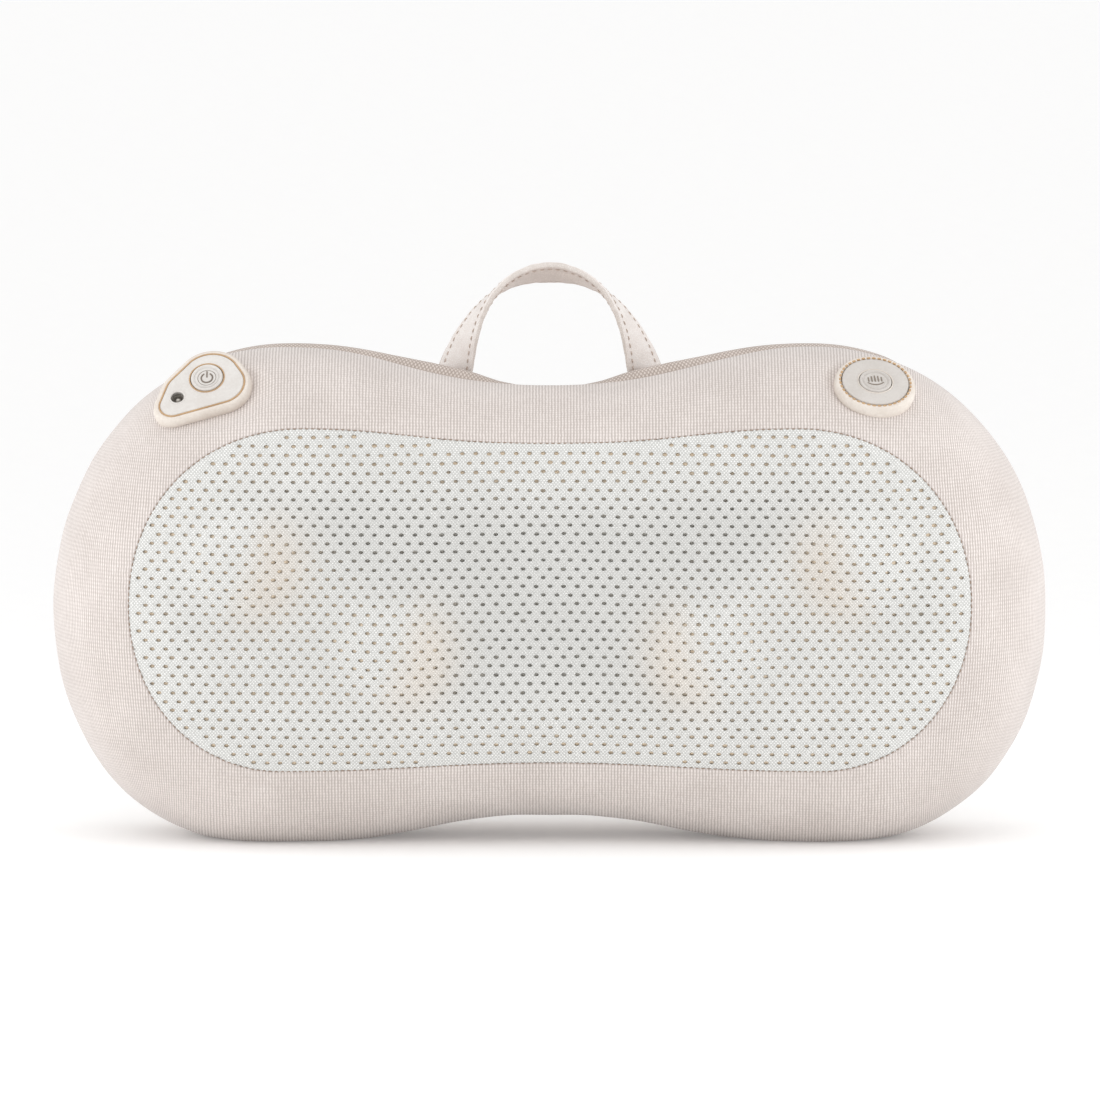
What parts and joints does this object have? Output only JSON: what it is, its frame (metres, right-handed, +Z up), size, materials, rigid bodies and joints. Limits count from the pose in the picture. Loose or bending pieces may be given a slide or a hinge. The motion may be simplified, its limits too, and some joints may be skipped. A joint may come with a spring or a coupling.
{
  "type": "shiatsu neck massager",
  "caption": "Butterfly-shaped massage pillow with a mesh window over rotating massage heads, two control pods and a carry handle.",
  "frame": {"origin": "middle of the base, on the surface the pillow stands on", "axes": "+X to the right seen from the front, +Y from the mesh window to the back, +Z up through the handle"},
  "size_m": [0.38, 0.1049, 0.2196],
  "materials": {
    "knit": "fine beige knit, matt",
    "mesh": "white spacer mesh with oval holes",
    "lining": "thin brushed lining",
    "foam": "open-cell foam",
    "tape": "woven taupe tape",
    "leather": "cream soft-grain leather, satin",
    "pod_plastic": "warm beige moulded plastic, satin",
    "disc_plastic": "warm grey moulded plastic, satin",
    "case_plastic": "grey moulded plastic",
    "gear_plastic": "acetal",
    "head_plastic": "soft translucent amber",
    "steel": "bare steel",
    "brass": "machined brass",
    "black_plastic": "black plastic",
    "board": "solder mask",
    "battery_wrap": "shrink wrap",
    "red_plastic": "red wire cover"
  },
  "bodies": {
    "pillow": {"front_cover": "knit", "mesh_panel": "mesh", "inner_lining": "lining", "back_cover": "knit", "top_band": "tape", "foam_surround": "foam", "rear_foam_pad": "foam", "zip_tape": "tape", "left_handle_anchor": "leather", "right_handle_anchor": "leather", "power_pod_housing": "pod_plastic", "power_pod_faceplate": "pod_plastic", "power_pod_clamp": "case_plastic", "power_switch": "black_plastic", "charging_socket": "black_plastic", "charging_pin": "steel", "mode_pod_housing": "pod_plastic", "mode_pod_faceplate": "disc_plastic", "mode_pod_clamp": "case_plastic", "mode_switch": "black_plastic", "housing_rear": "case_plastic", "housing_front": "case_plastic", "housing_screw_1": "steel", "housing_screw_2": "steel", "housing_screw_3": "steel", "housing_screw_4": "steel", "motor_can": "steel", "motor_end_cap_left": "black_plastic", "motor_end_cap_right": "black_plastic", "left_worm_bearing": "brass", "right_worm_bearing": "brass", "battery_pack": "battery_wrap", "control_board": "board", "power_lead": "black_plastic", "mode_lead": "black_plastic", "motor_lead": "red_plastic", "battery_lead": "red_plastic", "left_shaft_bushing": "brass", "right_shaft_bushing": "brass"},
    "left_hub": {"left_hub_arm": "case_plastic", "left_worm_wheel": "gear_plastic", "left_output_shaft": "steel"},
    "right_hub": {"right_hub_arm": "case_plastic", "right_worm_wheel": "gear_plastic", "right_output_shaft": "steel"},
    "drive_rotor": {"drive_shaft": "steel", "left_worm": "brass", "right_worm": "brass", "motor_armature": "steel"},
    "left_upper_head": {"left_upper_head": "head_plastic"},
    "left_lower_head": {"left_lower_head": "head_plastic"},
    "right_upper_head": {"right_upper_head": "head_plastic"},
    "right_lower_head": {"right_lower_head": "head_plastic"},
    "power_button": {"power_button": "pod_plastic"},
    "mode_button": {"mode_button": "disc_plastic"},
    "zip_slider": {"zip_slider": "steel", "zip_pull": "steel"},
    "handle": {"carry_handle": "leather"}
  },
  "joints": [
    {"name": "left_hub_spin", "type": "hinge", "parent": "pillow", "child": "left_hub", "pos_m": [-0.0902, 0, 0.095], "axis": [0, 1, 0], "continuous": true},
    {"name": "right_hub_spin", "type": "hinge", "parent": "pillow", "child": "right_hub", "pos_m": [0.0902, 0, 0.095], "axis": [0, 1, 0], "continuous": true},
    {"name": "drive_spin", "type": "hinge", "parent": "pillow", "child": "drive_rotor", "pos_m": [0, 0.019, 0.1215], "axis": [1, 0, 0], "continuous": true},
    {"name": "left_upper_head_spin", "type": "hinge", "parent": "left_hub", "child": "left_upper_head", "pos_m": [-0.119, 0, 0.11231], "axis": [0, 1, 0], "continuous": true},
    {"name": "left_lower_head_spin", "type": "hinge", "parent": "left_hub", "child": "left_lower_head", "pos_m": [-0.0614, 0, 0.0777], "axis": [0, 1, 0], "continuous": true},
    {"name": "right_upper_head_spin", "type": "hinge", "parent": "right_hub", "child": "right_upper_head", "pos_m": [0.119, 0, 0.11231], "axis": [0, 1, 0], "continuous": true},
    {"name": "right_lower_head_spin", "type": "hinge", "parent": "right_hub", "child": "right_lower_head", "pos_m": [0.0614, 0, 0.0777], "axis": [0, 1, 0], "continuous": true},
    {"name": "power_button_press", "type": "slide", "parent": "pillow", "child": "power_button", "axis": [0.127, 0.7202, -0.682], "range_m": [0, 0.001], "stiffness_N_per_m": 600, "springref_m": -0.0005},
    {"name": "mode_button_press", "type": "slide", "parent": "pillow", "child": "mode_button", "axis": [-0.1021, 0.5789, -0.809], "range_m": [0, 0.001], "stiffness_N_per_m": 600, "springref_m": -0.0005},
    {"name": "zip_slide", "type": "slide", "parent": "pillow", "child": "zip_slider", "axis": [1, 0, 0], "range_m": [0, 0.2]},
    {"name": "handle_flop", "type": "hinge", "parent": "pillow", "child": "handle", "pos_m": [0, 0.026, 0.1772], "axis": [1, 0, 0], "range_deg": [-62, 40]}
  ],
  "couplings": [
    {"joint": "right_hub_spin", "follows": "left_hub_spin", "ratio": -1},
    {"joint": "drive_spin", "follows": "left_hub_spin", "ratio": 28}
  ]
}
